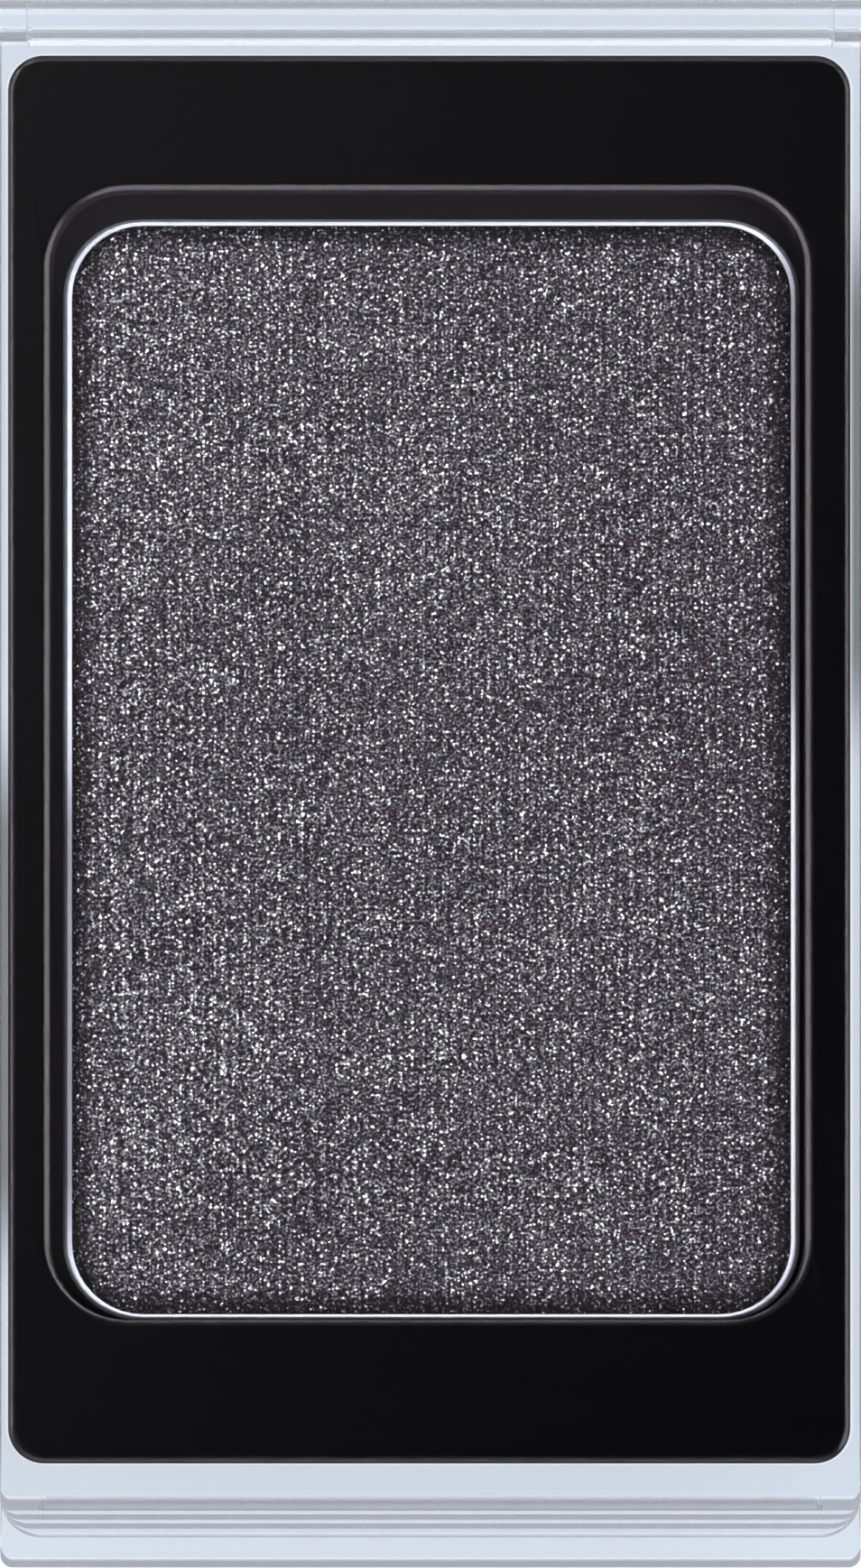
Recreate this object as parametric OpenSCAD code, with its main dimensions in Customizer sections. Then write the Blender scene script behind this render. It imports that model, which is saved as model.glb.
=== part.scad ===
// Eyeshadow compact. A clear hinged case holds one lift-out refill: a gloss black frame with a
// metal pan of pressed powder glued into its well.
// Millimetres, +Z up, hinge at +Y, thumb grip at -Y. The origin is the middle of the case's
// footprint, on the surface that the case rests on.
// The sizes run outwards from the pan: pan, well, frame, seat in the tray, case.

/* [Pan and powder] */
// Width of the metal pan
pan_w = 22.75; // [14:0.05:60]
// Length of the metal pan
pan_l = 34.0; // [20:0.05:80]
// Height of the metal pan
pan_h = 1.7; // [1.2:0.05:4]
// Outer corner radius of the pan
pan_r = 2.4; // [0.6:0.05:4]
// Wall thickness of the pan
pan_wall = 0.25; // [0.1:0.01:0.35]
// Floor thickness of the pan
pan_floor = 0.2; // [0.1:0.01:0.4]
// How far the powder's top lies below the pan's rim
powder_drop = 0.15; // [0.05:0.01:0.4]
// Gap between the powder and the pan's wall
powder_gap = 0.02; // [0.01:0.01:0.1]

/* [Pan adhesive] */
// Thickness of the adhesive under the pan
pan_glue_t = 0.1; // [0.05:0.01:0.2]
// How far the adhesive stays inside the pan's edge
pan_glue_inset = 1.5; // [0.5:0.1:4]

/* [Refill frame] */
// Gap between the well's side walls and a centred pan
well_gap_side = 0.425; // [0.3:0.005:2]
// Gap between the well's end walls and a centred pan
well_gap_end = 0.55; // [0.54:0.01:2]
// Corner radius of the well's mouth
well_r = 2.5; // [0.5:0.05:4]
// How far the pan was glued towards the front of the well
pan_shift_front = 0.53; // [0:0.01:0.53]
// How far the pan was glued to the right in the well
pan_shift_right = 0.13; // [0:0.01:0.28]
// Depth of the pan's rim below the frame's top face
pan_recess = 0.4; // [0:0.05:1.5]
// Width of the frame's top face beside the well
bar_side = 1.2; // [1:0.05:6]
// Width of the frame's top face at each end of the well
bar_end = 4.15; // [3.6:0.05:12]
// How far the well lies behind the middle of the frame
well_shift_back = 0.11; // [0:0.01:0.2]
// How far the well lies to the left of the middle of the frame
well_shift_left = 0.1; // [0:0.01:0.15]
// Corner radius of the frame's top plate
plate_r = 1.1; // [0.8:0.05:3]
// Thickness of the frame's top plate
plate_t = 1.0; // [0.6:0.05:1.6]
// Overhang of the top plate around the frame's cup
flange = 0.6; // [0.5:0.05:0.65]
// Thickness of the frame's floor under the pan
cup_floor = 1.65; // [1.5:0.05:3]
// Wall thickness around the hollow at each end of the cup
core_wall = 0.8; // [0.5:0.05:1.2]

/* [Magnet and label] */
// Diameter of the magnet
magnet_d = 10; // [6:0.5:12]
// Thickness of the magnet
magnet_t = 0.9; // [0.5:0.1:1]
// Radial gap around the magnet in its recess
magnet_gap = 0.1; // [0.05:0.01:0.3]
// Thickness of the adhesive above the magnet
magnet_glue_t = 0.05; // [0.03:0.01:0.1]
// Width of the blank label under the frame
label_w = 18; // [13:0.5:20]
// Length of the blank label under the frame
label_l = 28; // [15:0.5:32]
// Corner radius of the label
label_r = 1.5; // [0.5:0.1:3]
// Thickness of the label
label_t = 0.1; // [0.05:0.01:0.15]

/* [Case] */
// Gap between the frame's top plate and its seat in the tray
seat_clear = 0.08; // [0.05:0.01:0.2]
// Gap between the frame's cup and the tray's walls
cup_clear = 0.15; // [0.1:0.01:0.3]
// Gap between the frame's cup and the tray's floor
under_gap = 0.1; // [0.05:0.01:0.5]
// Width of the tray's rim beside the frame
rim_lip = 0.22; // [0.15:0.01:2]
// Width of the tray's top behind the frame
strip_back = 1.62; // [1.5:0.01:6]
// Width of the tray's top in front of the frame
strip_front = 3.22; // [3:0.01:10]
// Floor thickness of the tray
tray_floor = 0.9; // [0.6:0.05:3]
// Corner radius of the tray, seen from above
tray_r = 0.4; // [0.2:0.05:0.8]
// Gap between the frame's top face and the lid
lid_gap = 0.15; // [0.05:0.01:0.5]
// Thickness of the lid
lid_t = 1.7; // [1.5:0.05:3]

/* [Thumb grip] */
// Width of the tray's ledge in front of the lid
ledge = 0.95; // [0.6:0.05:1.2]
// Number of steps down the lid's front edge, below its top face
grip_steps = 3; // [1:1:4]
// How far each step reaches in front of the one above it
grip_tread = 0.31; // [0.15:0.01:0.35]
// Height of the first drop, from the lid's top face
grip_first = 0.5; // [0.2:0.05:0.6]
// Height of each further drop
grip_rise = 0.35; // [0.1:0.05:0.4]
// Corner radius of the lowest step, seen from above
grip_r = 1.3; // [1:0.05:3]
// How much smaller the corner radius is on each step above
grip_r_less = 0.32; // [0.1:0.01:0.33]

/* [Catch] */
// How far the ends of the catch tongue stay inside the case's sides
catch_inset = 1.3; // [1.2:0.1:8]
// Thickness of the catch tongue
catch_t = 0.55; // [0.4:0.05:0.7]
// How far the catch tongue reaches below the lid
catch_h = 1.2; // [0.8:0.1:1.5]
// Gap around the catch tongue in its slot
catch_gap = 0.12; // [0.1:0.01:0.2]
// Wall between the catch slot and the seat of the frame
catch_wall = 0.9; // [0.6:0.05:1]

/* [Hinge] */
// Radius of the hinge barrel
barrel_r = 0.65; // [0.6:0.01:0.7]
// Width of each ear of the tray, at the ends of the barrel
ear_w = 0.85; // [0.6:0.05:3]
// Gap between an ear and the end of the barrel
ear_gap = 0.08; // [0.05:0.01:0.3]
// Radius of the pips at the barrel's ends
pip_r = 0.32; // [0.25:0.01:0.34]
// Radial gap between a pip and its hole
pip_clear = 0.04; // [0.02:0.01:0.1]
// How far a pip's end stays inside the ear's outer face
pip_short = 0.1; // [0.05:0.01:0.2]
// Gap between the lid and the ears as the lid swings
swing_gap = 0.05; // [0.03:0.01:0.2]
// Width of the groove between the lid's slab and the barrel's middle line
groove_y = 0.58; // [0.5:0.01:0.6]
// Depth of the groove between the slab and the barrel, below the lid's top face
groove_h = 0.5; // [0.3:0.05:0.7]

/* [Hidden] */
$fn = 64;
eps = 0.05;  // how far a cut runs past the face it opens

// Plan sizes, from the pan outwards
well_w = pan_w + 2 * well_gap_side;
well_l = pan_l + 2 * well_gap_end;
plate_w = well_w + 2 * bar_side;
plate_l = well_l + 2 * bar_end;
cup_w = plate_w - 2 * flange;
cup_l = plate_l - 2 * flange;
cup_r = plate_r - flange;
seat_w = plate_w + 2 * seat_clear;
seat_l = plate_l + 2 * seat_clear;
seat_r = plate_r + seat_clear;
cavity_w = cup_w + 2 * cup_clear;
cavity_l = cup_l + 2 * cup_clear;
cavity_r = cup_r + cup_clear;
case_w = seat_w + 2 * rim_lip;
case_l = seat_l + strip_back + strip_front;

// Places along Y
back_y = case_l / 2;
front_y = -case_l / 2;
plate_y = (strip_front - strip_back) / 2;
well_x = -well_shift_left;
well_y = plate_y + well_shift_back;
pan_x = well_x + pan_shift_right;
pan_y = well_y - pan_shift_front;

// Heights, from the tray's floor upwards
frame_z = tray_floor + under_gap;
well_z = frame_z + cup_floor;
pan_z = well_z + pan_glue_t;
rim_z = pan_z + pan_h;
plate_top = rim_z + pan_recess;
ledge_z = plate_top - plate_t;
part_z = plate_top + lid_gap;  // where the lid meets the tray
top_z = part_z + lid_t;

// Powder
powder_w = pan_w - 2 * (pan_wall + powder_gap);
powder_l = pan_l - 2 * (pan_wall + powder_gap);
powder_r = pan_r - pan_wall - powder_gap;
powder_h = pan_h - pan_floor - powder_drop;

// Magnet, set into the underside of the frame, above the label
label_recess = label_t;
magnet_z = frame_z + label_recess;
magnet_recess_h = label_recess + magnet_t + magnet_glue_t;

// Hollows at the ends of the frame's cup, open below
core_w = cup_w - 2 * core_wall;
core_back = cup_l / 2 - core_wall;
core_front = well_l / 2 + core_wall;

// Hinge
axis_y = back_y - barrel_r;
axis_z = part_z + lid_t / 2;
ear_x = case_w / 2 - ear_w;
barrel_len = 2 * (ear_x - ear_gap);
pip_len = barrel_len + 2 * (ear_gap + ear_w - pip_short);
slab_back = axis_y - groove_y;
notch_back = axis_y - barrel_r - swing_gap;
web_top = top_z - groove_h;

// Grip and catch
lid_front = front_y + ledge;
catch_w = case_w - 2 * catch_inset;
catch_back = plate_y - seat_l / 2 - catch_wall;
catch_front = catch_back - catch_t;

// A flat rounded rectangle centred on the origin.
module rounded(w, l, r) {
    square([w - 2 * r, l], center = true);
    square([w, l - 2 * r], center = true);
    for (x = [-1, 1], y = [-1, 1])
        translate([x * (w / 2 - r), y * (l / 2 - r)]) circle(r);
}

// A rounded block from height z0 to z1, centred on (x, y).
module block(w, l, r, z0, z1, x = 0, y = 0) {
    translate([x, y, z0]) linear_extrude(z1 - z0) rounded(w, l, r);
}

// A box given by its low and high corners.
module span(low, high) {
    translate(low) cube(high - low);
}

// A round bar along X, centred on the hinge's axis.
module hinge_bar(r, length) {
    translate([-length / 2, axis_y, axis_z]) rotate([0, 90, 0]) cylinder(r = r, h = length);
}

// The case's footprint, as a block up to height z.
module footprint(z) {
    block(case_w, case_l, tray_r, 0, z);
}

// An ear at one end of the hinge barrel: round over the hinge's axis, straight below it.
module ear(side) {
    low_x = side > 0 ? ear_x : -case_w / 2;
    translate([low_x, axis_y, axis_z]) rotate([0, 90, 0]) cylinder(r = barrel_r, h = ear_w);
    span([low_x, axis_y - barrel_r, part_z - eps], [low_x + ear_w, back_y, axis_z]);
}

// The space that the catch tongue needs, larger than the tongue by gap on every side.
module catch_body(gap, top) {
    span([-catch_w / 2 - gap, catch_front - gap, part_z - catch_h - gap],
         [catch_w / 2 + gap, catch_back + gap, top]);
}

// The clear lower half of the case: a tray with a stepped seat for the refill, a solid strip
// behind it with the hinge's ears, and a ledge in front for the thumb.
module tray() color([0.84, 0.87, 0.9, 0.4]) difference() {
    union() {
        footprint(part_z);
        intersection() {
            footprint(top_z);
            union() for (side = [-1, 1]) ear(side);
        }
    }
    block(seat_w, seat_l, seat_r, ledge_z, part_z + eps, y = plate_y);
    block(cavity_w, cavity_l, cavity_r, tray_floor, part_z, y = plate_y);
    hinge_bar(pip_r + pip_clear, case_w + 2 * eps);
    catch_body(catch_gap, part_z + eps);
}

// One step of the lid's front edge. Step 0 is the lid's full thickness, and each further one is
// lower and reaches further forward, with a larger corner radius.
module grip_step(i) {
    above = grip_steps - i;
    r = grip_r - above * grip_r_less;
    front = lid_front + above * grip_tread;
    z = i == 0 ? top_z : top_z - grip_first - (i - 1) * grip_rise;
    back = (slab_back + front) / 2;
    translate([0, 0, part_z]) linear_extrude(z - part_z) {
        translate([0, (back + front) / 2]) rounded(case_w, back - front, r);
        translate([-case_w / 2, back - 2 * r]) square([case_w, slab_back - back + 2 * r]);
    }
}

// The clear lid: a slab with a stepped grip at the front, a catch tongue under it, and a hinge
// barrel behind it that ends in two pips.
module lid() color([0.84, 0.87, 0.9, 0.4]) {
    difference() {
        for (i = [0 : grip_steps]) grip_step(i);
        for (side = [-1, 1])
            translate([side * (case_w / 2 - ear_w / 2 - ear_gap / 2), 0, 0])
                span([-(ear_w + ear_gap) / 2 - (side < 0 ? eps : 0), notch_back, part_z - eps],
                     [(ear_w + ear_gap) / 2 + (side > 0 ? eps : 0), slab_back + eps, top_z + eps]);
    }
    hinge_bar(barrel_r, barrel_len);
    hinge_bar(pip_r, pip_len);
    span([-barrel_len / 2, slab_back - eps, axis_z - barrel_r], [barrel_len / 2, axis_y, web_top]);
    catch_body(0, part_z + eps);
}

// The black refill frame: a top plate that rests in the tray's seat, a cup below it, and a well
// for the pan.
module refill_frame() color([0.06, 0.06, 0.07]) difference() {
    union() {
        block(plate_w, plate_l, plate_r, ledge_z, plate_top, y = plate_y);
        block(cup_w, cup_l, cup_r, frame_z, ledge_z + eps, y = plate_y);
    }
    block(well_w, well_l, well_r, well_z, plate_top + eps, well_x, well_y);
    for (side = [-1, 1])
        translate([0, plate_y + side * (core_back + core_front) / 2, frame_z - eps])
            linear_extrude(ledge_z - frame_z)
                square([core_w, core_back - core_front], center = true);
    block(label_w, label_l, label_r, frame_z - eps, frame_z + label_recess, y = plate_y);
    translate([0, plate_y, frame_z - eps])
        cylinder(d = magnet_d + 2 * magnet_gap, h = magnet_recess_h + eps);
}

// The metal pan, a shallow open tray.
module pan() color([0.85, 0.87, 0.9]) difference() {
    block(pan_w, pan_l, pan_r, pan_z, rim_z, pan_x, pan_y);
    block(pan_w - 2 * pan_wall, pan_l - 2 * pan_wall, pan_r - pan_wall, pan_z + pan_floor,
          rim_z + eps, pan_x, pan_y);
}

// The adhesive that holds the pan to the well's floor.
module pan_adhesive() color([0.8, 0.78, 0.7])
    block(pan_w - 2 * pan_glue_inset, pan_l - 2 * pan_glue_inset, pan_r, well_z, pan_z,
          pan_x, pan_y);

// The pressed powder.
module powder() color([0.39, 0.38, 0.41])
    block(powder_w, powder_l, powder_r, pan_z + pan_floor, pan_z + pan_floor + powder_h,
          pan_x, pan_y);

// The magnet that holds the refill in a larger palette.
module magnet() color([0.6, 0.6, 0.62])
    translate([0, plate_y, magnet_z]) cylinder(d = magnet_d, h = magnet_t);

// The adhesive that holds the magnet in its recess.
module magnet_adhesive() color([0.8, 0.78, 0.7])
    translate([0, plate_y, magnet_z + magnet_t]) cylinder(d = magnet_d, h = magnet_glue_t);

// The blank label on the underside of the frame, over the magnet.
module label() color([0.9, 0.9, 0.9])
    block(label_w - 2 * eps, label_l - 2 * eps, label_r, frame_z, frame_z + label_t, y = plate_y);

tray();
lid();
refill_frame();
pan();
pan_adhesive();
powder();
magnet();
magnet_adhesive();
label();
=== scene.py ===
"""The looks of the eyeshadow compact: a clear hinged case, and in it one refill.

Sizes are in millimetres until a mesh is made. +Z is up, the hinge is at +Y and the grip at -Y.
"""

import math

import bmesh
import bpy
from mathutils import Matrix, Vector, noise


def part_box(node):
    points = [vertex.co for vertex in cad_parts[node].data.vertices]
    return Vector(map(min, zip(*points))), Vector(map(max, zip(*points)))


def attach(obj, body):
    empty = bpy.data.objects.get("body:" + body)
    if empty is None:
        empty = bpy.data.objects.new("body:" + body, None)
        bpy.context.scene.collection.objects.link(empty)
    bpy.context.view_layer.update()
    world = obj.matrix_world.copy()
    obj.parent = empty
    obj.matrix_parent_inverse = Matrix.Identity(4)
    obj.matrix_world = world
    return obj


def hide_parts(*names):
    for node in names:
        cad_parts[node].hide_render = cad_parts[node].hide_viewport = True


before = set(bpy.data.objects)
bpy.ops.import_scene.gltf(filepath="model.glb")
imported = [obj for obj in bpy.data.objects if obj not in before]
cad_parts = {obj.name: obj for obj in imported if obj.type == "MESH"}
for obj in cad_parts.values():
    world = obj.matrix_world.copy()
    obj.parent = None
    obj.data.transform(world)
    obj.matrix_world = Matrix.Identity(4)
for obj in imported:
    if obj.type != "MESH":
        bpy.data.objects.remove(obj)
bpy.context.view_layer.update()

MM = 0.001
CORNER_STEPS = 10  # segments in a quarter turn of an outline's corner
ROUND_STEPS = 6  # segments in a rounded edge
SLOPE_STEPS = 4  # segments in a stretch of a slope
TURN_STEPS = 48  # segments round the hinge's axis
SHARP_ANGLE = 35  # degrees between faces that meet in a sharp edge
FACE_WEIGHT = 80  # how strongly large faces keep their own shading

# ------------------------------------------------------------------ sizes, in millimetres


def node_box(name):
    """The low and high corner of a CAD node, in millimetres."""
    low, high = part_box(name)
    return low / MM, high / MM


TRAY_LOW, TRAY_HIGH = node_box("tray")
LID_HIGH = node_box("lid")[1]
FRAME_LOW, FRAME_HIGH = node_box("refill_frame")
PAN_LOW, PAN_HIGH = node_box("pan")
POWDER_LOW, POWDER_HIGH = node_box("powder")
LABEL_LOW, LABEL_HIGH = node_box("label")
MAGNET_LOW, MAGNET_HIGH = node_box("magnet")

HALF_W = TRAY_HIGH.x
FRONT, BACK = TRAY_LOW.y, TRAY_HIGH.y
LID_T = 1.7
TOP_Z = LID_HIGH.z
PART_Z = TOP_Z - LID_T
AIR = 0.03  # gap kept between two clear or glossy faces that rest on each other
PAST = 1.0  # how far a cut runs past the face it opens

# Tray
TRAY_R = 0.4  # corner radius, seen from above
TRAY_FLOOR = 0.9  # thickness
SEAT_CLEAR = 0.08  # around the frame's plate
CUP_CLEAR = 0.15  # around the frame's cup
FLANGE = 0.6  # how far the plate reaches past the cup

# Refill frame
PLATE_R = 1.1  # corner radius of the top plate
PLATE_T = 1.0  # and its thickness
WELL_GAP_SIDE = 0.425  # beside a centred pan
WELL_GAP_END = 0.55  # and at its ends
WELL_R = 2.5  # corner radius
PAN_SHIFT_FRONT = 0.53  # how far off the middle of the well the pan is glued
PAN_SHIFT_RIGHT = 0.13  # likewise to the right
CORE_WALL = 0.8  # wall around the hollow at each end of the cup

# Pan and powder
PAN_R = 2.4  # corner radius
PAN_WALL = 0.25
PAN_FLOOR = 0.2
PAN_GLUE_T = 0.1  # thickness of the adhesive under the pan

# Magnet and label
MAGNET_R = 5.0
LABEL_R = 1.5  # corner radius

# Hinge
BARREL_R = 0.65
EAR_W = 0.85
EAR_GAP = 0.08  # between an ear and the slab
BARREL_GAP = 0.012  # between an ear and the barrel's end
PIP_R = 0.32  # the pips at the barrel's ends
PIP_CLEAR = 0.04  # around a pip in its hole
PIP_SHORT = 0.1  # from a pip's end to the ear's outer face
SWING_GAP = 0.05  # between the slab and the ears as the lid swings
GROOVE_Y = 0.62  # from the slab's back to the hinge's axis, a little wider than in the CAD
GROOVE_H = 0.5  # depth of the groove behind the slab, from the lid's top face
AXIS_Y = BACK - BARREL_R
AXIS_Z = PART_Z + LID_T / 2
EAR_X = HALF_W - EAR_W
SLAB_BACK = AXIS_Y - GROOVE_Y
SLAB_R = 0.15  # corner radius at the slab's back

# Grip and catch
LEDGE = 0.95  # width of the tray's ledge in front of the lid
GRIP_STEPS = 3  # below the top face
GRIP_TREAD = 0.287  # a little narrower than in the CAD
GRIP_FIRST = 0.5  # height of the first drop
GRIP_RISE = 0.35  # and of each further one
GRIP_R = 1.3  # corner radius of the lowest step
GRIP_R_LESS = 0.32  # how much smaller it is on each step above
CATCH_INSET = 1.3  # from the case's side to the tongue's end
CATCH_T = 0.55  # thickness of the tongue
CATCH_H = 1.2  # how far it reaches below the lid
CATCH_GAP = 0.12  # around it in its slot
CATCH_WALL = 0.9  # between the slot and the frame's seat
CATCH_R = 0.25  # corner radius

# Small shifts from the CAD, to where the pieces of the real object lie: + is right or back
FRAME_X = -0.043
SEAT_X = -0.03  # the frame's seat in the tray
FRAME_Y = -0.045  # for the frame and its seat
WELL_X = 0.025
WELL_Y = -0.02
WELL_SLIM = 0.04  # how far the well's right edge is then drawn in, towards the pan
WELL_SHORT = 0.065  # and its front edge
PAN_Y = 0.05  # for the pan and its powder

PLATE_Y = (FRAME_LOW.y + FRAME_HIGH.y) / 2
PLATE_W = FRAME_HIGH.x - FRAME_LOW.x
PLATE_L = FRAME_HIGH.y - FRAME_LOW.y
LEDGE_Z = FRAME_HIGH.z - PLATE_T
LID_FRONT = FRONT + LEDGE

# ------------------------------------------------------------------ mesh helpers


def quarter(radius, rise):
    """(inset, height) of points along a rounded edge: inset grows from 0 to radius as height grows
    from 0 to rise."""
    turns = [math.pi / 2 * k / ROUND_STEPS for k in range(ROUND_STEPS + 1)]
    return [(radius * (1 - math.cos(a)), rise * math.sin(a)) for a in turns]


def slope(*stretches):
    """(inset, drop) of points along an edge, from its flat face outwards and down. Each stretch is
    (width, first angle, last angle), and the drop follows from the angles."""
    inset = drop = 0.0
    points = [(0.0, 0.0)]
    for width, first, last in stretches:
        for k in range(SLOPE_STEPS):
            angle = math.radians(first + (last - first) * (k + 0.5) / SLOPE_STEPS)
            inset += width / SLOPE_STEPS
            drop += width / SLOPE_STEPS * math.tan(angle)
            points.append((inset, drop))
    return points


def from_wall(points):
    """The same edge from its wall up to its flat face: (inset from the wall, height)."""
    width, tall = points[-1]
    return [(width - inset, tall - drop) for inset, drop in reversed(points)]


def outline(left, right, front, back, z, r_front, r_back=None):
    """A level ring of points: a rectangle with rounded corners, anticlockwise from above."""
    r_back = r_front if r_back is None else r_back
    corners = (
        (right - r_back, back - r_back, r_back, 0),
        (left + r_back, back - r_back, r_back, 90),
        (left + r_front, front + r_front, r_front, 180),
        (right - r_front, front + r_front, r_front, 270),
    )
    points = []
    for x, y, r, start in corners:
        for k in range(CORNER_STEPS + 1):
            a = math.radians(start + 90 * k / CORNER_STEPS)
            points.append((x + r * math.cos(a), y + r * math.sin(a), z))
    return points


def centred(w, l, z, r, x=0.0, y=0.0):
    """A level ring: a rounded rectangle of size w by l, centred on (x, y)."""
    return outline(x - w / 2, x + w / 2, y - l / 2, y + l / 2, z, r)


def new_object(name, mesh):
    obj = bpy.data.objects.new(name, mesh)
    bpy.context.scene.collection.objects.link(obj)
    return obj


def loft(name, rings):
    """A closed solid through rings of points. Each ring has as many points as the others."""
    bm = bmesh.new()
    loops = [[bm.verts.new(Vector(p) * MM) for p in ring] for ring in rings]
    count = len(loops[0])
    for low, high in zip(loops, loops[1:]):
        for i in range(count):
            j = (i + 1) % count
            bm.faces.new((low[i], low[j], high[j], high[i]))
    bm.faces.new(reversed(loops[0]))
    bm.faces.new(loops[-1])
    bmesh.ops.recalc_face_normals(bm, faces=bm.faces)
    mesh = bpy.data.meshes.new(name)
    bm.to_mesh(mesh)
    bm.free()
    return new_object(name, mesh)


def applied(obj):
    """Makes the object's modifiers part of its mesh."""
    bpy.context.view_layer.update()
    graph = bpy.context.evaluated_depsgraph_get()
    mesh = bpy.data.meshes.new_from_object(obj.evaluated_get(graph))
    mesh.name = obj.name
    obj.modifiers.clear()
    obj.data = mesh
    return obj


def combine(obj, tools, operation):
    """Joins each tool to obj, or cuts it from obj, and removes the tool."""
    for tool in tools:
        step = obj.modifiers.new(operation.lower(), "BOOLEAN")
        step.operation = operation
        step.solver = "EXACT"
        step.object = tool
        applied(obj)
        bpy.data.objects.remove(tool)
    return obj


def along_x(name, profile, x_low, x_high, soft):
    """A bar along X. profile(inset) gives its (y, z) points, and soft is the radius of the rounded
    edges at its two ends."""
    ends = quarter(soft, soft)
    rings = [[(x_low + soft - h, y, z) for y, z in profile(inset)] for inset, h in reversed(ends)]
    rings += [[(x_high - soft + h, y, z) for y, z in profile(inset)] for inset, h in ends]
    return loft(name, rings)


def about_axis(radius, count):
    """(y, z) points at a radius from the hinge's axis: the first count points of a whole turn that
    starts at the back and goes up."""
    turns = [math.tau * k / TURN_STEPS for k in range(count)]
    return [(AXIS_Y + radius * math.cos(a), AXIS_Z + radius * math.sin(a)) for a in turns]


def round_bar(name, radius, half, soft):
    """A round bar on the hinge's axis, as far to the left as to the right."""

    def profile(inset):
        return about_axis(radius - inset, TURN_STEPS)

    return along_x(name, profile, -half, half, soft)


def shade(obj):
    """Smooth faces that turn sharply only at edges over an angle, with flat faces kept flat."""
    for face in obj.data.polygons:
        face.use_smooth = True
    obj.data.set_sharp_from_angle(angle=math.radians(SHARP_ANGLE))
    weights = obj.modifiers.new("weights", "WEIGHTED_NORMAL")
    weights.keep_sharp = True
    weights.weight = FACE_WEIGHT


def in_bore(centre):
    """True for a face of a pip or of its hole, given the face's middle."""
    from_axis = math.hypot(centre.y / MM - AXIS_Y, centre.z / MM - AXIS_Z)
    slack = 0.005
    past_slab = abs(centre.x) / MM > EAR_X - EAR_GAP + slack
    return past_slab and from_axis < PIP_R + PIP_CLEAR + slack


def finish_piece(obj, node, material, body="case_body", bore=None):
    """Gives a piece its shading and material, and puts it in the place of a CAD node. The faces of
    a pip or its hole take the material bore, if given."""
    shade(obj)
    obj.data.materials.clear()
    obj.data.materials.append(material)
    if bore is not None:
        obj.data.materials.append(bore)
        for face in obj.data.polygons:
            face.material_index = int(in_bore(face.center))
    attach(obj, body)
    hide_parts(node)


# ------------------------------------------------------------------ pieces


def make_ear(side):
    """An ear of the tray: round over the hinge's axis and straight below it, down into the tray."""
    rooted = 0.6
    soft = 0.015

    def profile(inset):
        r = BARREL_R - inset
        arc = about_axis(r, TURN_STEPS // 2 + 1)
        return [(AXIS_Y + r, PART_Z - rooted), *arc, (AXIS_Y - r, PART_Z - rooted)]

    low = EAR_X if side > 0 else -HALF_W
    return along_x("ear", profile, low, low + EAR_W, soft)


def catch_block(gap, top):
    """The catch tongue, or with a gap, the space that its slot takes."""
    back = PLATE_Y - PLATE_L / 2 - SEAT_CLEAR - CATCH_WALL
    front = back - CATCH_T
    w = HALF_W - CATCH_INSET + gap
    low = PART_Z - CATCH_H - gap
    return loft("catch", [outline(-w, w, front - gap, back + gap, z, CATCH_R) for z in (low, top)])


def tray_outline(side, front, back, z, r):
    """The tray's outline drawn in by side, front and back."""
    return outline(-HALF_W + side, HALF_W - side, FRONT + front, BACK - back, z, r)


def make_tray():
    """The tray: up its outside, over its rim, down the seat and the hollow to its floor."""
    foot_side, foot_end, foot_tall = 0.02, 0.05, 0.05
    front_edge = from_wall(slope((0.02, 0, 20), (0.14, 22, 42), (0.14, 42, 52), (0.04, 52, 75)))
    rim_wide, rim_tall = front_edge[-1]
    rim_side, rim_back = 0.02, 0.12
    floor_soft = 0.3
    seat_w = PLATE_W / 2 + SEAT_CLEAR
    seat_l = PLATE_L / 2 + SEAT_CLEAR
    seat_r = PLATE_R + SEAT_CLEAR
    step = FLANGE + SEAT_CLEAR - CUP_CLEAR
    cup_r = PLATE_R - FLANGE + CUP_CLEAR

    def inner(grow, z, r):
        """A ring of the seat or the hollow, larger than the seat by grow."""
        w, l = 2 * (seat_w + grow), 2 * (seat_l + grow)
        return centred(w, l, z, r, SEAT_X, PLATE_Y + FRAME_Y)

    rings = [
        tray_outline(foot_side * i, foot_end * i, foot_end * i, foot_tall * (1 - h), TRAY_R)
        for i, h in reversed(quarter(1.0, 1.0))
    ]
    for i, h in front_edge:
        part = i / rim_wide
        z = PART_Z - rim_tall + h
        rings.append(tray_outline(rim_side * part, i, rim_back * part, z, TRAY_R))
    rings.append(inner(0.0, PART_Z, seat_r))
    rings.append(inner(0.0, LEDGE_Z - AIR, seat_r))
    rings.append(inner(-step, LEDGE_Z - AIR, cup_r))
    rings += [
        inner(-step - i, TRAY_FLOOR + floor_soft - h, cup_r - i)
        for i, h in quarter(floor_soft, floor_soft)
    ]
    tray = loft("tray_clear", rings)
    combine(tray, [make_ear(1), make_ear(-1)], "UNION")
    hole = round_bar("hole", PIP_R + PIP_CLEAR, HALF_W + PAST, 0.01)
    combine(tray, [hole, catch_block(CATCH_GAP, PART_Z + PAST)], "DIFFERENCE")
    return tray


# The edge along the front of the lid's top face, and the bevel along the back of that face. The
# bevel goes as deep as the first two stretches of the edge.
SHOULDER = slope((0.02, 0, 18), (0.157, 18, 43), (0.17, 43, 50), (0.1, 50, 60))
BEVEL_DROP = SHOULDER[2 * SLOPE_STEPS][1]
BACK_BEVEL = BEVEL_DROP / math.tan(math.radians(30))


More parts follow.
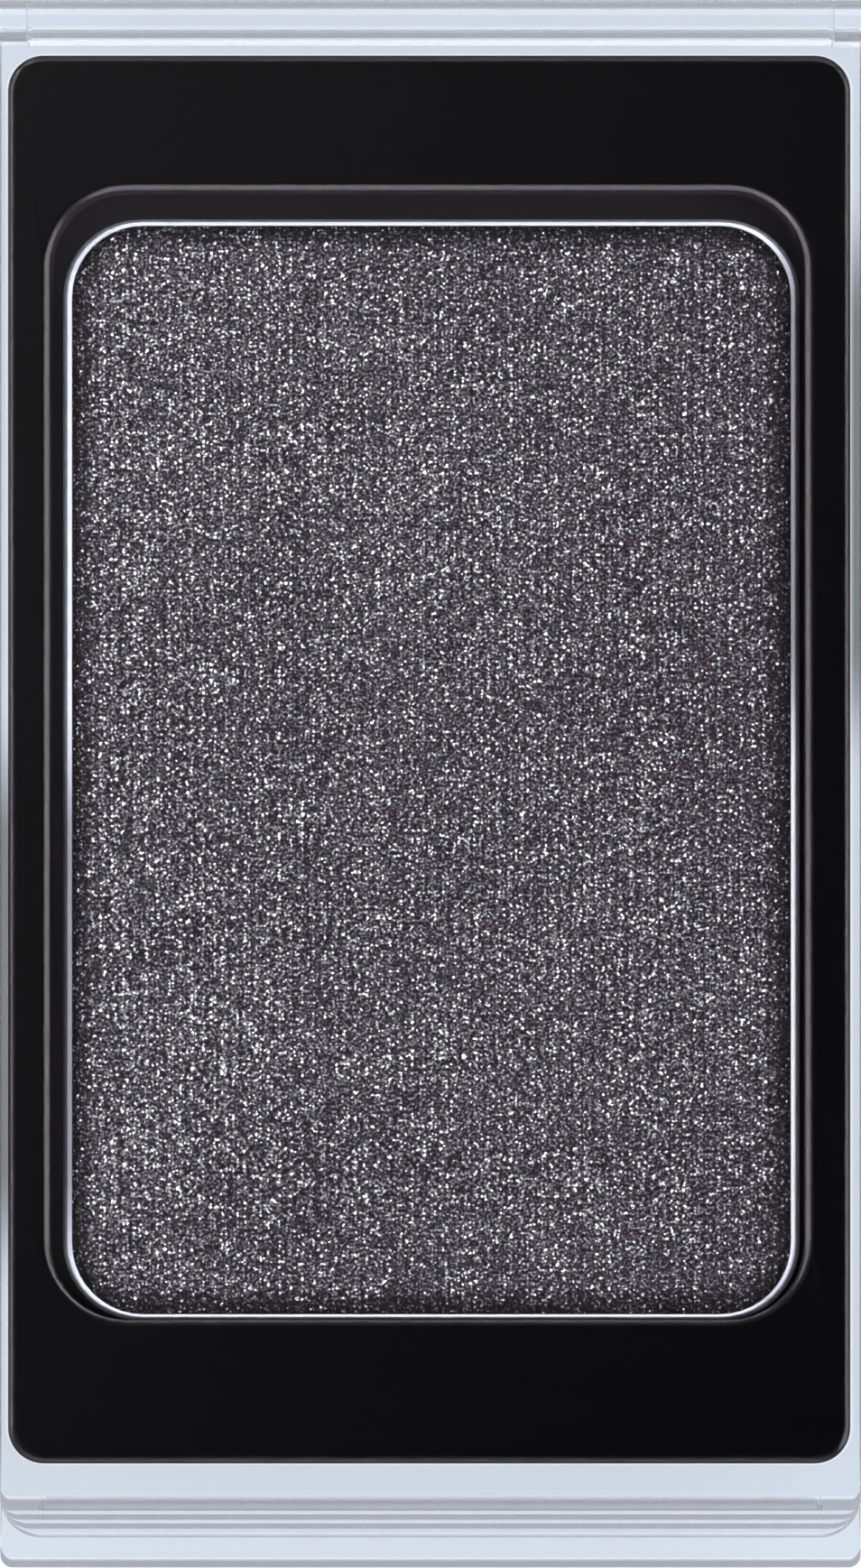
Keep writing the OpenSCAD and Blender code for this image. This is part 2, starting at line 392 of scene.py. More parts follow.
def lid_rings():
    """The lid's slab from its underside to its top face, with the stepped grip in front."""
    foot, concave, side_soft = 0.02, 0.045, 0.02
    tread_rise = 0.003  # each tread climbs a little from its edge to its back
    tighter, wider = 0.8, 0.3  # how a corner's radius follows a riser and the hollow behind it
    riser = from_wall(slope((0.02, 0, 20), (0.04, 20, 40), (0.12, 40, 50), (0.02, 50, 75)))
    low_riser = from_wall(slope((0.05, 0, 26), (0.11, 26, 36), (0.02, 36, 78)))
    shoulder = from_wall(SHOULDER)
    low = PART_Z + AIR
    rings = []

    def ring(front, z, r, side=0.0, back=0.0):
        left, right = -HALF_W + side, HALF_W - side
        rings.append(outline(left, right, front, SLAB_BACK - back, z, r, SLAB_R))

    ring(LID_FRONT + foot, low, GRIP_R, foot, foot)
    ring(LID_FRONT, low + foot, GRIP_R)
    for step in range(GRIP_STEPS, 0, -1):
        above = GRIP_STEPS - step
        front = LID_FRONT + above * GRIP_TREAD
        r = GRIP_R - above * GRIP_R_LESS
        top = TOP_Z - GRIP_FIRST - (step - 1) * GRIP_RISE
        edge = low_riser if step == GRIP_STEPS else riser
        for i, h in edge:
            ring(front + i, top - edge[-1][1] + h, r - i * tighter)
        for i, h in reversed(quarter(concave, concave)):
            z = top + tread_rise + concave - h
            ring(front + GRIP_TREAD - i, z, r - GRIP_R_LESS + i * wider)
    front = LID_FRONT + GRIP_STEPS * GRIP_TREAD
    r = GRIP_R - GRIP_STEPS * GRIP_R_LESS
    width, tall = shoulder[-1]
    for i, h in shoulder:
        bevel = BACK_BEVEL * max(0.0, 1 - (tall - h) / BEVEL_DROP)
        ring(front + i, TOP_Z - tall + h, r, side_soft * i / width, bevel)
    return rings


def make_lid():
    """The lid: its slab, the hinge barrel with its web and pips, and the catch tongue."""
    lid = loft("lid_clear", lid_rings())
    corner = 0.05
    notch_front = AXIS_Y - BARREL_R - SWING_GAP
    straight = [(0.0, 0.0), (TOP_Z - BEVEL_DROP, 0.0)]
    bevelled = [(TOP_Z, BACK_BEVEL), (TOP_Z + PAST, BACK_BEVEL)]
    notches = []
    for side in (1, -1):
        low, high = sorted((side * (EAR_X - EAR_GAP), side * (HALF_W + PAST)))
        levels = [
            outline(low, high, notch_front - bevel, BACK, z, corner)
            for z, bevel in straight + bevelled
        ]
        notches.append(loft("notch", levels))
    combine(lid, notches, "DIFFERENCE")
    half = EAR_X - BARREL_GAP
    barrel = round_bar("barrel", BARREL_R, half, 0.01)
    pips = round_bar("pips", PIP_R, HALF_W - PIP_SHORT, 0.08)
    web_half = half - 0.12
    web_front, web_back = SLAB_BACK - 0.4, AXIS_Y + 0.03
    web_low, web_high = AXIS_Z - BARREL_R - 0.005, TOP_Z - GROOVE_H
    levels = [
        outline(-web_half, web_half, web_front, web_back, z, corner) for z in (web_low, web_high)
    ]
    tongue = catch_block(0.0, PART_Z + 0.5)
    combine(lid, [barrel, pips, loft("web", levels), tongue], "UNION")
    return lid


def make_refill_frame():
    """The frame: from its underside, out round the top plate, and down the well to its floor. It is
    hollow at both ends, with recesses under its floor for the label and the magnet."""
    edge = from_wall(slope((0.06, 0, 14), (0.06, 14, 18), (0.09, 18, 25), (0.01, 25, 60)))
    mouth = slope((0.07, 0, 12), (0.17, 12, 33), (0.05, 33, 58))
    mouth_w, mouth_drop = mouth[-1]
    front_wide, front_reach = 1.15, 0.165  # along its front the mouth is wider, and ends sooner
    lip, lip_tall, lip_soft = 0.155, 0.1, 0.03
    grow, front_flat = 0.05, 0.6  # the plate is a little longer, with a flatter front edge
    under, well_foot, cup_edge = 0.04, 0.25, 0.2
    tightest = 0.05  # the smallest corner radius
    well_x = (PAN_LOW.x + PAN_HIGH.x) / 2 - PAN_SHIFT_RIGHT + WELL_X - WELL_SLIM / 2
    well_y = (PAN_LOW.y + PAN_HIGH.y) / 2 + PAN_SHIFT_FRONT + WELL_Y + WELL_SHORT / 2
    well_w = PAN_HIGH.x - PAN_LOW.x + 2 * WELL_GAP_SIDE - WELL_SLIM
    well_l = PAN_HIGH.y - PAN_LOW.y + 2 * WELL_GAP_END - WELL_SHORT
    cup_w, cup_l, cup_r = PLATE_W - 2 * FLANGE, PLATE_L - 2 * FLANGE, PLATE_R - FLANGE
    well_z = PAN_LOW.z - PAN_GLUE_T

    def level(w, l, r, inset, z, x=FRAME_X, y=PLATE_Y + FRAME_Y):
        return centred(w - 2 * inset, l - 2 * inset, z, max(r - inset, tightest), x, y)

    def well_level(inset, z, longer=0.0):
        """A ring of the well. If longer, it reaches further at its front."""
        return level(well_w, well_l + longer, WELL_R, inset, z, well_x, well_y - longer / 2)

    def mouth_level(i, z):
        """A ring of the well's mouth, i from the mouth's outer edge."""
        return well_level(i - mouth_w + lip, z, i - front_wide * min(i, front_reach))

    rings = [
        level(cup_w, cup_l, cup_r, i, FRAME_LOW.z + cup_edge - h)
        for i, h in reversed(quarter(cup_edge, cup_edge))
    ]
    rings.append(level(cup_w, cup_l, cup_r, 0, LEDGE_Z))
    rings.append(level(PLATE_W, PLATE_L, PLATE_R, under, LEDGE_Z))
    rings.append(level(PLATE_W, PLATE_L, PLATE_R, 0, LEDGE_Z + under))
    for i, h in edge:
        flat = front_flat * i
        z = FRAME_HIGH.z - edge[-1][1] + h
        middle = PLATE_Y + FRAME_Y + flat / 2
        rings.append(level(PLATE_W, PLATE_L + grow - flat, PLATE_R, i, z, y=middle))
    rings += [mouth_level(i, FRAME_HIGH.z - drop) for i, drop in mouth]
    lip_z = FRAME_HIGH.z - mouth_drop - lip_tall
    rings.append(mouth_level(mouth_w, lip_z))
    rings.append(well_level(0, lip_z - lip_soft))
    rings += [well_level(i, well_z + well_foot - h) for i, h in quarter(well_foot, well_foot)]
    body = loft("refill_frame_black", rings)
    core_x, core_r = cup_w / 2 - CORE_WALL, 0.4
    core_top = LEDGE_Z - 0.05
    core_low = well_l / 2 + CORE_WALL
    core_high = cup_l / 2 - CORE_WALL
    cores = []
    for side in (1, -1):
        low, high = sorted((PLATE_Y + side * core_low, PLATE_Y + side * core_high))
        levels = [outline(-core_x, core_x, low, high, z, core_r) for z in (0, core_top)]
        cores.append(loft("core", levels))
    combine(body, cores, "DIFFERENCE")

    def recess(name, w, l, r, top):
        """A recess in the frame's underside, from the floor up to a height."""
        return loft(name, [centred(w, l, z, r, y=PLATE_Y) for z in (0, top)])

    around_label, around_magnet, over_magnet = 0.1, 0.2, 0.05
    label_w = LABEL_HIGH.x - LABEL_LOW.x + around_label
    label_l = LABEL_HIGH.y - LABEL_LOW.y + around_label
    magnet_w = MAGNET_HIGH.x - MAGNET_LOW.x + around_magnet
    magnet_top = MAGNET_HIGH.z + over_magnet
    recesses = [
        recess("label_hole", label_w, label_l, LABEL_R, LABEL_HIGH.z),
        recess("magnet_hole", magnet_w, magnet_w, magnet_w / 2, magnet_top),
    ]
    combine(body, recesses, "DIFFERENCE")
    return body


def make_pan():
    """The pan: up its outside, over its rolled rim, and down to its floor."""
    w, l = PAN_HIGH.x - PAN_LOW.x, PAN_HIGH.y - PAN_LOW.y
    x, y = (PAN_LOW.x + PAN_HIGH.x) / 2, (PAN_LOW.y + PAN_HIGH.y) / 2 + PAN_Y
    foot = 0.5
    side_roll = 0.08  # the rim rolls out wider along the two long sides
    outside = from_wall(slope((0.01, 0, 20), (0.03, 20, 50), (0.08, 55, 76)))
    inside = slope((0.02, 0, 16), (0.04, 16, 32), (0.02, 32, 65))
    crest, roll_tall = outside[-1]
    inner_wall = crest + inside[-1][0]

    def level(inset, z, side=0.0):
        return centred(w - 2 * (inset + side), l - 2 * inset, z, PAN_R - inset, x, y)

    rings = [level(i, PAN_LOW.z + foot - h) for i, h in reversed(quarter(foot, foot))]
    rings += [level(i, PAN_HIGH.z - roll_tall + h, side_roll * i / crest) for i, h in outside]
    rings += [level(crest + i, PAN_HIGH.z - drop, side_roll) for i, drop in inside]
    rings.append(level(inner_wall, PAN_LOW.z + PAN_FLOOR, side_roll))
    return loft("pan_metal", rings)


def make_powder():
    """The powder: a pressed cake with a faintly uneven top that falls away beside the rim. Each
    point of it holds its distance from the rim, for the material."""
    spread = 0.07  # how much further it reaches at each end than in the CAD
    w, l = POWDER_HIGH.x - POWDER_LOW.x, POWDER_HIGH.y - POWDER_LOW.y + 2 * spread
    x, y = (POWDER_LOW.x + POWDER_HIGH.x) / 2, (POWDER_LOW.y + POWDER_HIGH.y) / 2 + PAN_Y
    radius = PAN_R - PAN_WALL + spread
    fall, reach, spacing = 0.22, 1.05, 0.28
    steps = 8
    tightest = 0.02  # the smallest corner radius
    sunk, uneven, waves = 0.03, 0.03, 0.35  # how deep, how rough, and how many to a millimetre

    def level(inset, z):
        return centred(w - 2 * inset, l - 2 * inset, z, max(radius - inset, tightest), x, y)

    rings = [level(0.0, POWDER_LOW.z)]
    for k in range(steps + 1):
        t = k / steps
        rings.append(level(reach * t, POWDER_HIGH.z - fall * (1 - t) ** 2))
    inset = reach + spacing
    while inset < w / 2 - spacing:
        rings.append(level(inset, POWDER_HIGH.z))
        inset += spacing
    cake = loft("powder_cake", rings)
    for vertex in cake.data.vertices:
        if vertex.co.z > (POWDER_HIGH.z - fall - 0.02) * MM:
            lift = noise.fractal(vertex.co / MM * waves, 0.6, 2.0, 3)
            vertex.co.z -= (sunk + uneven * lift) * MM
    rim = cake.data.attributes.new("from_rim", "FLOAT", "POINT")
    for vertex, value in zip(cake.data.vertices, rim.data):
        value.value = rim_distance(vertex.co.x / MM - x, vertex.co.y / MM - y, w, l, radius)
    return cake


def rim_distance(x, y, w, l, radius):
    """How far, in millimetres, a point lies inside a rounded rectangle centred on 0, 0."""
    across = abs(x) - (w / 2 - radius)
    along = abs(y) - (l / 2 - radius)
    outside = math.hypot(max(across, 0.0), max(along, 0.0))
    return radius - outside - min(max(across, along), 0.0)


def make_pad(name, node, radius, soft):
    """A thin flat pad with rounded corners and soft edges, in the place of a CAD node."""
    low, high = node_box(node)
    w, l = high.x - low.x, high.y - low.y
    x, y = (low.x + high.x) / 2, (low.y + high.y) / 2
    rings = [
        centred(w - 2 * i, l - 2 * i, low.z + soft - h, radius - i, x, y)
        for i, h in reversed(quarter(soft, soft))
    ]
    rings += [
        centred(w - 2 * i, l - 2 * i, high.z - soft + h, radius - i, x, y)
        for i, h in quarter(soft, soft)
    ]
    return loft(name, rings)


# ------------------------------------------------------------------ materials


class Nodes:
    """The node tree of a material or of the world, with short calls to add and join nodes."""

    def __init__(self, owner, output="ShaderNodeOutputMaterial"):
        owner.use_nodes = True
        self.owner = owner
        self.tree = owner.node_tree
        self.tree.nodes.clear()
        self.output = self.add(output)
        self.coordinates = self.add("ShaderNodeTexCoord").outputs
        self.place = self.coordinates["Object"]

    def add(self, kind, inputs=None, **settings):
        """Adds a node. Each input is a value or the output of another node."""
        node = self.tree.nodes.new(kind)
        for key, value in settings.items():
            setattr(node, key, value)
        for key, value in (inputs or {}).items():
            if isinstance(value, bpy.types.NodeSocket):
                self.tree.links.new(value, node.inputs[key])
            else:
                node.inputs[key].default_value = value
        return node

    def split(self, vector):
        """The X, Y and Z of a vector."""
        return self.add("ShaderNodeSeparateXYZ", {0: vector}).outputs

    def math(self, operation, *values):
        """A maths node for one or two values, and a chain of them for more."""
        result = values[0]
        for value in values[1:] or (0.0,):
            inputs = {0: result, 1: value}
            result = self.add("ShaderNodeMath", inputs, operation=operation).outputs[0]
        return result

    def flatness(self):
        """1 where the surface lies level, down to 0 where it stands upright."""
        return self.math("ABSOLUTE", self.split(self.coordinates["Normal"])["Z"])

    def noise(self, scale, detail, roughness=0.5, stretch=None):
        """Noise over the object, with scale in features per millimetre."""
        place = self.place
        if stretch is not None:
            mapping = self.add("ShaderNodeMapping", {"Vector": place, "Scale": stretch})
            place = mapping.outputs["Vector"]
        inputs = {"Vector": place, "Scale": scale / MM, "Detail": detail, "Roughness": roughness}
        return self.add("ShaderNodeTexNoise", inputs).outputs["Fac"]

    def sway(self, weight, *shape, **more):
        """Noise that swings about 0, times a weight."""
        return self.math("MULTIPLY", self.math("SUBTRACT", self.noise(*shape, **more), 0.5), weight)

    def cells(self, scale, offset):
        """Flat Voronoi cells over the object, with scale in cells per millimetre."""
        shift = {0: self.place, 1: (offset * MM, offset * 0.7 * MM, 0.0)}
        place = self.add("ShaderNodeVectorMath", shift, operation="ADD").outputs["Vector"]
        inputs = {"Vector": place, "Scale": scale / MM, "Randomness": 1.0}
        kind = {"feature": "F1", "voronoi_dimensions": "2D"}
        return self.add("ShaderNodeTexVoronoi", inputs, **kind).outputs

    def ramp(self, value, low, high, to_low=0.0, to_high=1.0, smooth=True):
        """A value mapped from low..high to to_low..to_high, and held at the ends."""
        inputs = {0: value, 1: low, 2: high, 3: to_low, 4: to_high}
        kind = "SMOOTHSTEP" if smooth else "LINEAR"
        return self.add("ShaderNodeMapRange", inputs, interpolation_type=kind).outputs[0]

    def mix(self, factor, a, b, blend="MIX"):
        """A colour between a and b."""
        inputs = {0: factor, 6: a, 7: b}
        return self.add("ShaderNodeMix", inputs, data_type="RGBA", blend_type=blend).outputs[2]

    def bump(self, height, distance):
        """A bumpy surface, with distance in millimetres."""
        inputs = {"Height": height, "Distance": distance * MM, "Strength": 1.0}
        return self.add("ShaderNodeBump", inputs).outputs["Normal"]

    def principled(self, inputs):
        return self.add("ShaderNodeBsdfPrincipled", inputs).outputs[0]

    def finish(self, shader):
        """Makes a shader the tree's result, and gives back the material or world."""
        self.tree.links.new(shader, self.output.inputs["Surface"])
        return self.owner


def new_material(name):
    return Nodes(bpy.data.materials.new(name))


def srgb(r, g, b):
    """A colour given as 0 to 255 display values, as linear light."""

    def linear(c):
        c /= 255
        return c / 12.92 if c <= 0.04045 else ((c + 0.055) / 1.055) ** 2.4

    return (linear(r), linear(g), linear(b), 1.0)


def times(colour, factors):
    """A colour with its red, green and blue multiplied."""
    return tuple(c * k for c, k in zip(colour[:3], factors)) + (1.0,)


def painted_shade_along_sides(n, x_low, x_high):
    """1 along a stretch of each long side, at the front left and the back right, and else 0: where
    a shade is painted. The sides start between x_low and x_high from the middle."""
    place = n.split(n.place)
    middle_y = 1.27  # half a turn about this point takes one stretch to the other
    starts, full, thins, ends = -1.4, 3.3, 12.9, 17.5  # of a stretch, along its side from there
    from_middle = n.math("SUBTRACT", place["Y"], middle_y * MM)
    along = n.math("MULTIPLY", from_middle, n.math("SIGN", place["X"]))
    rise = n.ramp(along, starts * MM, full * MM)
    fall = n.ramp(along, thins * MM, ends * MM, 1.0, 0.0)
    side = n.ramp(n.math("ABSOLUTE", place["X"]), x_low * MM, x_high * MM)
    return n.math("MULTIPLY", rise, fall, side)


def clear_plastic(name, tint, slope_shade_tint, index, shade_painted_on_sides=0.0):
    """Clear moulded plastic that lamps shine through. A grey shade is painted on its slopes, the
    ledge that carries the refill is paler, and a painted shade, by a given amount, darkens a
    stretch of each long side."""
    n = new_material(name)
    flat = n.flatness()
    # painted shade on sloped faces, such as the rounded edges and the grip's risers
    slope_shade_mask = n.math("MULTIPLY", n.ramp(flat, 0.93, 0.76), n.ramp(flat, 0.02, 0.2))
    colour = n.mix(n.noise(0.25, 2.0), tint, times(tint, HAZE))
    colour = n.mix(slope_shade_mask, colour, times(tint, slope_shade_tint))
    height = n.split(n.place)["Z"]
    over = n.ramp(height, (LEDGE_Z - 0.12) * MM, (LEDGE_Z - 0.08) * MM)
    under = n.ramp(height, (LEDGE_Z + 0.1) * MM, (LEDGE_Z + 0.05) * MM)
    ledge = n.math("MULTIPLY", over, under, n.ramp(flat, 0.9, 0.99))
    colour = n.mix(ledge, colour, (1.0, 1.0, 1.0, 1.0))
    # a painted shade that darkens the tray along a stretch of each long side
    painted_side_mask = n.math("MULTIPLY", painted_shade_along_sides(n, 12.95, 13.08), shade_painted_on_sides)
    colour = n.mix(painted_side_mask, colour, (0.0, 0.0, 0.0, 1.0))
    body = n.principled(
        {
            "Base Color": colour,
            "Roughness": n.ramp(n.noise(6.0, 4.0), 0.35, 0.75, 0.01, 0.03),
            "IOR": index,
            "Transmission Weight": 1.0,
        }
    )
    through = n.add("ShaderNodeBsdfTransparent", {"Color": colour}).outputs[0]
    shadow_ray = n.add("ShaderNodeLightPath").outputs["Is Shadow Ray"]
    mixed = n.add("ShaderNodeMixShader", {0: shadow_ray, 1: body, 2: through})
    return n.finish(mixed.outputs[0])


def black_plastic():
    """Black moulded plastic: gloss on the top plate with a trace of flow marks, satin below it, and
    a little duller on its rounded edges. Below the plate its colour is painted lighter: painted
    light in the well."""
    n = new_material("black_plastic")
    flow = n.noise(0.08, 3.0, stretch=(1.0, 0.35, 1.0))
    fine = n.noise(9.0, 3.0)
    height = n.split(n.place)["Z"]
    # below the pan's rim: a rougher satin, and a colour painted lighter
    satin = n.ramp(height, (PAN_HIGH.z - 0.05) * MM, (PAN_HIGH.z + 0.05) * MM, 1.0, 0.0)
    gloss_black = n.mix(flow, (0.0003, 0.0003, 0.0004, 1.0), (0.0005, 0.0005, 0.0006, 1.0))
    # satin black, painted lighter to stand in for light caught in the well around the pan
    satin_black_painted_lighter = n.mix(fine, (0.0058, 0.0045, 0.0060, 1.0), (0.0080, 0.0064, 0.0084, 1.0))
    smooth = n.ramp(fine, 0.3, 0.8, 0.085, 0.11)
    rounded = n.ramp(n.flatness(), 0.995, 0.97, 0.0, 0.14)
    body = n.principled(
        {
            "Base Color": n.mix(satin, gloss_black, satin_black_painted_lighter),
            "Roughness": n.math("ADD", smooth, rounded, n.math("MULTIPLY", satin, 0.2)),
            "IOR": 1.52,
            "Specular Tint": (1.0, 0.94, 1.0, 1.0),
        }
    )
    return n.finish(body)


def pan_metal():
    """Bright satin tinplate, with a painted shade along a stretch of each long side."""
    n = new_material("pan_metal")
    fine = n.noise(5.0, 3.0)
    bright = n.mix(fine, srgb(171, 176, 183), srgb(183, 187, 193))
    body = n.principled(
        {
            # a painted shade that darkens the metal along a stretch of each long side
            "Base Color": n.mix(painted_shade_along_sides(n, 10.0, 11.0), bright, srgb(112, 111, 118)),
            "Metallic": 1.0,
            "Roughness": n.ramp(fine, 0.3, 0.7, 0.42, 0.5),
            "Normal": n.bump(fine, 0.001),
        }
    )
    return n.finish(body)


def glitter_dots(n, scale, radius, share, offset):
    """Round dots of a radius in millimetres, one in a share of the cells. Each has a size and a
    brightness of its own."""
    cells = n.cells(scale, offset)
    own = n.add("ShaderNodeSeparateColor", {0: cells["Color"]}).outputs
    size = radius * scale
    edge = n.ramp(own["Green"], 0.0, 1.0, size * 0.7, size * 1.15, smooth=False)
    inside = n.ramp(n.math("DIVIDE", cells["Distance"], edge), 1.25, 0.55)
    return n.math("MULTIPLY", inside, n.ramp(own["Red"], 1 - share, 1.0, smooth=False))


def pressed_powder():
    """Pressed anthracite powder: a dark grain with dots of silver flake, their glints painted in as
    bright colour, and painted shade by the rim and towards the right. Its patterns add up to the
    logarithm of its brightness."""
    n = new_material("pressed_powder")
    across = n.split(n.place)["X"]
    from_rim = n.add("ShaderNodeAttribute", attribute_name="from_rim").outputs["Fac"]
    grain = n.math("ADD", n.sway(7.3, 11.5, 0.0), n.sway(1.7, 5.5, 0.0))
    clouds = n.sway(0.9, 0.14, 2.0, 0.6)
    patches = n.sway(0.45, 0.7, 3.0, 0.6)
    streaks = n.sway(0.35, 0.9, 2.0, stretch=(1.0, 0.1, 1.0))
    # painted shade: darker towards the right
    painted_shade_right = n.math("MULTIPLY", across, -0.014 / MM)
    imprint = n.math("SINE", n.math("MULTIPLY", across, math.tau / (IMPRINT_PITCH * MM)))
    imprint = n.math("MULTIPLY", imprint, 0.28)
    # painted shade: darker within about a millimetre of the rim
    rim_painted_shade = n.ramp(from_rim, 0.0, 0.95, -1.5, 0.0)
    large, small = glitter_dots(n, 5.6, 0.062, 0.75, 0.0), glitter_dots(n, 8.5, 0.040, 0.6, 3.7)
    # real flakes, with their glints painted in as bright colour
    glitter_painted_glints = n.math("MULTIPLY", n.math("ADD", large, small), 2.55)
    slow = n.math("ADD", clouds, streaks, patches, painted_shade_right, imprint)
    total = n.math("ADD", grain, slow, rim_painted_shade, POWDER_LOG, glitter_painted_glints)
    bright = n.math("MINIMUM", n.math("EXPONENT", total), 0.98)
    bright = n.math("MAXIMUM", bright, 0.005)
    hue = n.mix(n.ramp(bright, 0.015, 0.13), (1.07, 0.87, 1.07, 1.0), (0.95, 1.0, 1.03, 1.0))
    grey = n.add("ShaderNodeCombineColor", {0: bright, 1: bright, 2: bright}).outputs[0]
    shine = n.ramp(bright, 0.3, 0.9)
    body = n.principled(
        {
            "Base Color": n.mix(1.0, hue, grey, "MULTIPLY"),
            "Metallic": n.math("MULTIPLY", shine, 0.3),
            "Roughness": n.ramp(shine, 0.0, 1.0, 0.9, 0.55),
            "Specular IOR Level": 0.08,
            "Normal": n.bump(grain, 0.012),
        }
    )
    return n.finish(body)


def mottled(name, shape, colours, roughness, bump, metallic=0.0, stretch=None):
    """A material mottled between two colours, with roughness and bump from the same noise. The
    noise's shape is its scale and its detail."""
    n = new_material(name)
    fine = n.noise(*shape, stretch=stretch)
    body = n.principled(
        {
            "Base Color": n.mix(fine, *colours),
            "Metallic": metallic,
            "Roughness": n.ramp(fine, 0.3, 0.7, *roughness),
            "Normal": n.bump(fine, bump),
        }
    )
    return n.finish(body)


# ------------------------------------------------------------------ the object

CLEAR_INDEX = 1.33  # index of refraction of the case
BORE_INDEX = 1.03  # for the pips and their holes, which would show as dark knots
TRAY_TINT = (0.715, 0.772, 0.838, 1.0)
LID_TINT = (0.985, 0.99, 1.0, 1.0)
BORE_TINT = (0.99, 0.99, 1.0, 1.0)
TRAY_SLOPE_SHADE = (0.29, 0.27, 0.28)  # how much of its tint the tray keeps on a slope, where a shade is painted
LID_SLOPE_SHADE = (0.36, 0.335, 0.345)  # likewise the lid
NO_TINT = (1.0, 1.0, 1.0)
HAZE = (0.985, 0.985, 0.985)  # how much of its tint clear plastic keeps in its faint clouds
TRAY_PAINTED_SIDE_SHADE = 0.64  # how much darker the painted shade makes the tray along a stretch of each long side
POWDER_LOG = -3.93  # logarithm of the powder's plain brightness
IMPRINT_PITCH = 0.34  # between the fine lines that the press left along the powder

clear_tray = clear_plastic("clear_tray", TRAY_TINT, TRAY_SLOPE_SHADE, CLEAR_INDEX, TRAY_PAINTED_SIDE_SHADE)
clear_lid = clear_plastic("clear_lid", LID_TINT, LID_SLOPE_SHADE, CLEAR_INDEX)
clear_bore = clear_plastic("clear_bore", BORE_TINT, NO_TINT, BORE_INDEX)

# The magnet's bright nickel plating, milky adhesive, and blank label stock with a faint fibre
NICKEL = (srgb(168, 166, 162), srgb(196, 194, 190))
MILKY = (srgb(206, 200, 184), srgb(226, 222, 208))
PAPER = (srgb(228, 228, 226), srgb(240, 240, 239))
nickel = mottled("nickel", (4.0, 4.0), NICKEL, (0.22, 0.36), 0.004, metallic=1.0)
glue = mottled("adhesive", (0.8, 4.0), MILKY, (0.45, 0.65), 0.02)
paper = mottled("label_paper", (3.0, 5.0), PAPER, (0.55, 0.75), 0.006, stretch=(1.0, 0.4, 1.0))

finish_piece(make_tray(), "tray", clear_tray, bore=clear_bore)
finish_piece(make_lid(), "lid", clear_lid, body="lid_body", bore=clear_bore)
finish_piece(make_refill_frame(), "refill_frame", black_plastic())
finish_piece(make_pan(), "pan", pan_metal())
finish_piece(make_powder(), "powder", pressed_powder())
for name, node, radius, soft, slot, material in (
    ("pan_glue", "pan_adhesive", PAN_R, 0.02, "adhesive", glue),
    ("magnet_glue", "magnet_adhesive", MAGNET_R, 0.01, "adhesive", glue),
    ("magnet_disc", "magnet", MAGNET_R, 0.12, "magnet_metal", nickel),
    ("blank_label", "label", LABEL_R - 0.05, 0.02, "label_paper", paper),
):
    finish_piece(make_pad(name, node, radius, soft), node, material)

# ------------------------------------------------------------------ stage, light and camera


def stage_floor():
    """A pale floor, lifted to white where it is seen straight, and nearly to white where it is seen
    in gloss or through clear plastic."""
    half = 1.5  # metres
    z = -0.05 * MM  # just below the case
    corners = [(-half, -half, z), (half, -half, z), (half, half, z), (-half, half, z)]
    mesh = bpy.data.meshes.new("floor")
    mesh.from_pydata(corners, [], [(0, 1, 2, 3)])
    floor = new_object("floor", mesh)
    n = new_material("floor_white")
    path = n.add("ShaderNodeLightPath").outputs
    shades = n.mix(n.noise(0.02, 2.0), srgb(228, 228, 228), srgb(232, 232, 232))
    paint = n.add("ShaderNodeBsdfDiffuse", {"Color": shades}).outputs[0]
    lift = n.math("MULTIPLY", path["Is Camera Ray"], 0.25)
    glow = n.add("ShaderNodeEmission", {"Strength": lift}).outputs[0]
    lifted = n.add("ShaderNodeAddShader", {0: paint, 1: glow}).outputs[0]
    white = n.add("ShaderNodeEmission").outputs[0]
    in_case = n.math("MAXIMUM", path["Is Glossy Ray"], path["Is Transmission Ray"])
    share = n.math("MULTIPLY", in_case, 0.85)
    both = n.add("ShaderNodeMixShader", {0: share, 1: lifted, 2: white})
    mesh.materials.append(n.finish(both.outputs[0]))


def softbox(name, azimuth, elevation, radiance, height=0.38):
    """A soft lamp that points at the middle of the case, of a given radiance (white is 1), and of
    a height in metres."""
    width, distance = 0.81, 0.7
    data = bpy.data.lights.new(name, "AREA")
    data.shape = "RECTANGLE"
    data.size = width
    data.size_y = height
    data.energy = radiance * math.pi * width * height
    data.color = (1.0, 0.985, 1.02)
    lamp = new_object(name, data)
    around, up = math.radians(azimuth), math.radians(elevation)
    place = Vector(
        (math.cos(around) * math.cos(up), math.sin(around) * math.cos(up), math.sin(up))
    )
    lamp.location = place * distance
    lamp.rotation_mode = "QUATERNION"
    lamp.rotation_quaternion = (-place).to_track_quat("-Z", "Y")
    lamp.visible_camera = False


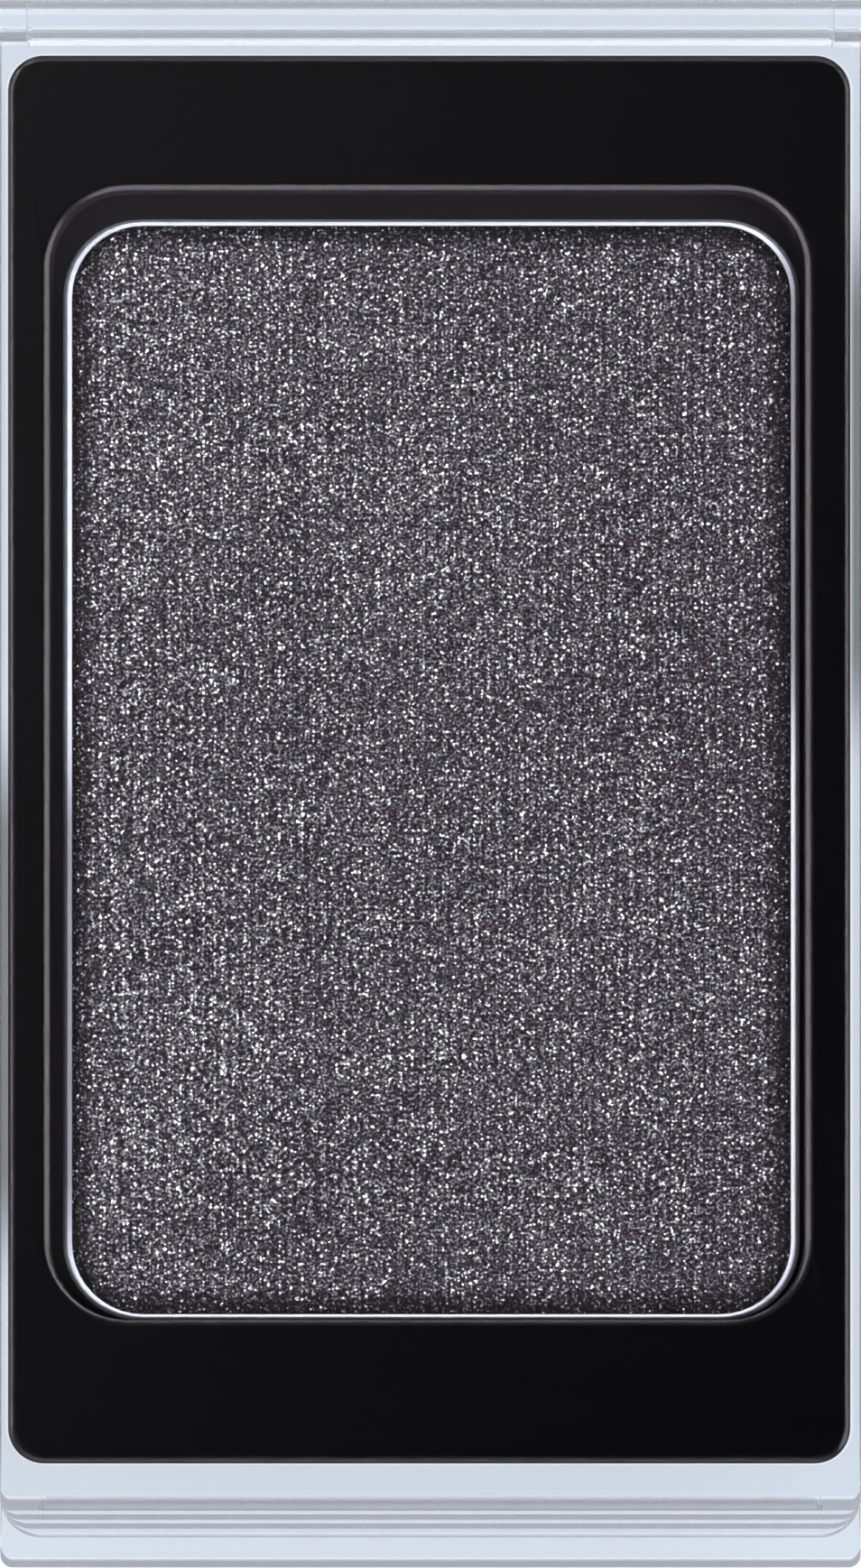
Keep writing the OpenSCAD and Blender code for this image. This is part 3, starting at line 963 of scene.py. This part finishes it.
def studio_world():
    """A plain studio: white seen straight, pale at the horizon and dark overhead, where a faint
    glow a little to the back left lies over the case."""
    world = bpy.data.worlds.new("studio")
    bpy.context.scene.world = world
    n = Nodes(world, "ShaderNodeOutputWorld")
    way = n.coordinates["Generated"]
    up = n.split(way)["Z"]
    horizon = n.ramp(up, 0.2, 0.55, 0.9, 0.22)
    ring = n.math("MULTIPLY", horizon, n.ramp(up, 0.55, 0.9, 1.0, 0.0))
    to_back_left = (-2.88, 1.536, 0.0)
    slant = n.add("ShaderNodeVectorMath", {0: way, 1: to_back_left}, operation="DOT_PRODUCT")
    glow = n.ramp(slant.outputs["Value"], -0.032, 0.2, 0.004, 0.3, smooth=False)
    glow = n.math("MULTIPLY", glow, n.ramp(up, 0.9, 0.97, smooth=False))
    light = n.math("ADD", ring, glow)
    is_camera = n.add("ShaderNodeLightPath").outputs["Is Camera Ray"]
    strength = n.add("ShaderNodeMix", {0: is_camera, 2: light, 3: 1.0}, data_type="FLOAT")
    inputs = {"Color": (1, 1, 1, 1), "Strength": strength.outputs[0]}
    n.finish(n.add("ShaderNodeBackground", inputs).outputs[0])


def look_down_camera():
    """A long lens straight above the case, framed on the case's outline."""
    height = 1.2
    crop = 0.9997  # the frame is this much of the case's length
    span = (BACK - FRONT) * MM * crop
    focus_z = (PART_Z + 0.4) * MM
    data = bpy.data.cameras.new("camera")
    data.sensor_fit = "AUTO"
    data.sensor_width = 36.0
    data.lens = data.sensor_width * (height - focus_z) / span
    data.clip_start = 0.01
    data.clip_end = 10.0
    camera = new_object("camera", data)
    camera.location = (0.0, (BACK + FRONT) / 2 * MM, height)
    camera.rotation_euler = (0.0, 0.0, 0.0)
    bpy.context.scene.camera = camera


stage_floor()
softbox("right_box", 10, 45, 4.6)
softbox("back_box", 80, 45, 4.4)
softbox("left_box", 190, 45, 4.3)
softbox("front_box", 260, 45, 4.0)
softbox("back_strip", 90, 29, 14.0, height=0.035)
studio_world()
look_down_camera()
bpy.context.scene.view_settings.view_transform = "Standard"
